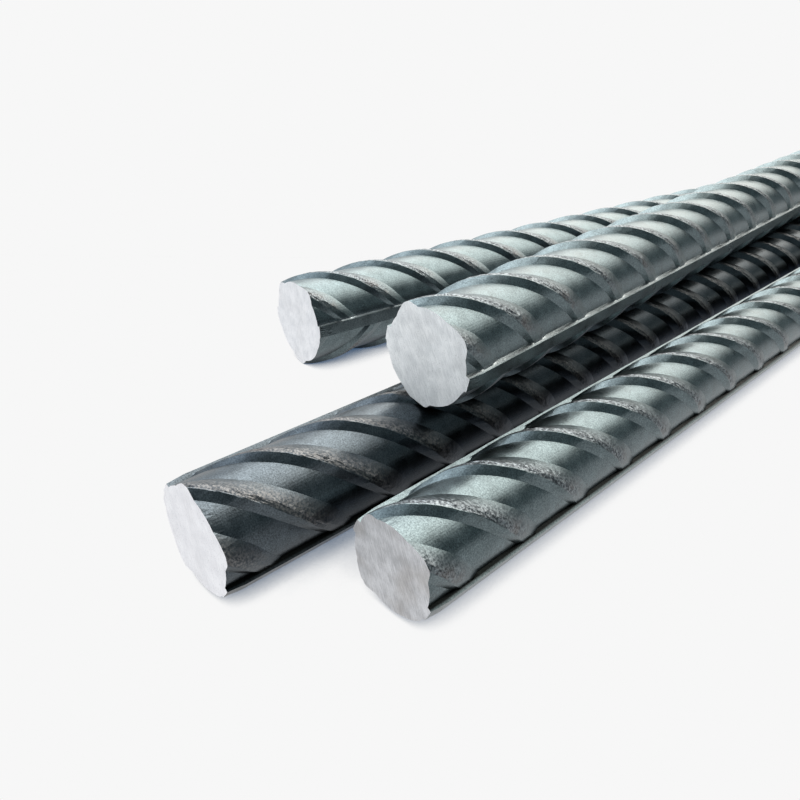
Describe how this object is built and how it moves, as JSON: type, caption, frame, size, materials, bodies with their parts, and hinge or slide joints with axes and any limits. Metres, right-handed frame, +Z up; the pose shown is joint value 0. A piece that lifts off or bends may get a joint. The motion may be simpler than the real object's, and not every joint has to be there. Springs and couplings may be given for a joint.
{
  "type": "rebar bundle",
  "caption": "Loose bundle of ribbed steel reinforcing bars with square sawn ends, lying splayed on a floor with one bar across the others, for reinforcing concrete.",
  "frame": {"origin": "on the floor, under the middle of the group's bounding box", "axes": "+Y along the front bar, away from the near sawn ends; +Z up; +X to the right, seen from the near ends"},
  "size_m": [0.1528, 0.6904, 0.0607],
  "materials": {
    "mill_scale_steel": "hot-rolled, dark blue-grey mill scale, sawn ends bright"
  },
  "bodies": {
    "root": {"front_bar": "mill_scale_steel", "left_bar": "mill_scale_steel", "back_bar": "mill_scale_steel", "top_bar": "mill_scale_steel"}
  },
  "joints": []
}
